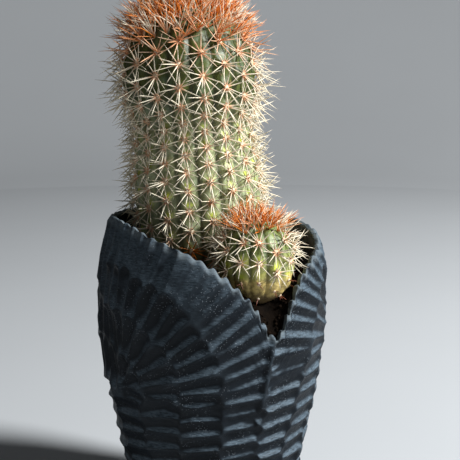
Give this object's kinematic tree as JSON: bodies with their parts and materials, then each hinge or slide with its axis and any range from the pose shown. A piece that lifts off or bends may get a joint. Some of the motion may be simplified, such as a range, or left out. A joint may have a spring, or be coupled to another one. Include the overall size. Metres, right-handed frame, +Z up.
{
  "type": "potted round cactus",
  "caption": "Round columnar cactus with dense pale spines and one small offset, in a dark carved stoneware pot whose rim dips to a notch.",
  "frame": {"origin": "centre of the pot's flat underside", "axes": "+Z up, -Y towards the front, where the rim dips, +X to the right"},
  "size_m": [0.1297, 0.1297, 0.293],
  "materials": {
    "stoneware": "semi-matte dark slip with fine glittering grains",
    "soil": "rough dark potting mix with bark and pale grit",
    "main_skin": "waxy green skin, paler and greyer low down",
    "offset_skin": "waxy yellow-green skin, corky cream at the foot",
    "spines": "smooth ivory to tan spines",
    "crown_spines": "smooth rust-coloured young spines"
  },
  "bodies": {
    "root": {"pot": "stoneware", "soil": "soil", "main_stem": "main_skin", "main_crown_spines": "crown_spines", "main_spines_rib_01": "spines", "main_spines_rib_02": "spines", "main_spines_rib_03": "spines", "main_spines_rib_04": "spines", "main_spines_rib_05": "spines", "main_spines_rib_06": "spines", "main_spines_rib_07": "spines", "main_spines_rib_08": "spines", "main_spines_rib_09": "spines", "main_spines_rib_10": "spines", "main_spines_rib_11": "spines", "main_spines_rib_12": "spines", "main_spines_rib_13": "spines", "main_spines_rib_14": "spines", "main_spines_rib_15": "spines", "main_spines_rib_16": "spines", "main_spines_rib_17": "spines", "main_spines_rib_18": "spines", "offset_stem": "offset_skin", "offset_crown_spines": "crown_spines", "offset_spines_rib_01": "spines", "offset_spines_rib_02": "spines", "offset_spines_rib_03": "spines", "offset_spines_rib_04": "spines", "offset_spines_rib_05": "spines", "offset_spines_rib_06": "spines", "offset_spines_rib_07": "spines", "offset_spines_rib_08": "spines", "offset_spines_rib_09": "spines", "offset_spines_rib_10": "spines", "offset_spines_rib_11": "spines", "offset_spines_rib_12": "spines", "offset_spines_rib_13": "spines"}
  },
  "joints": []
}
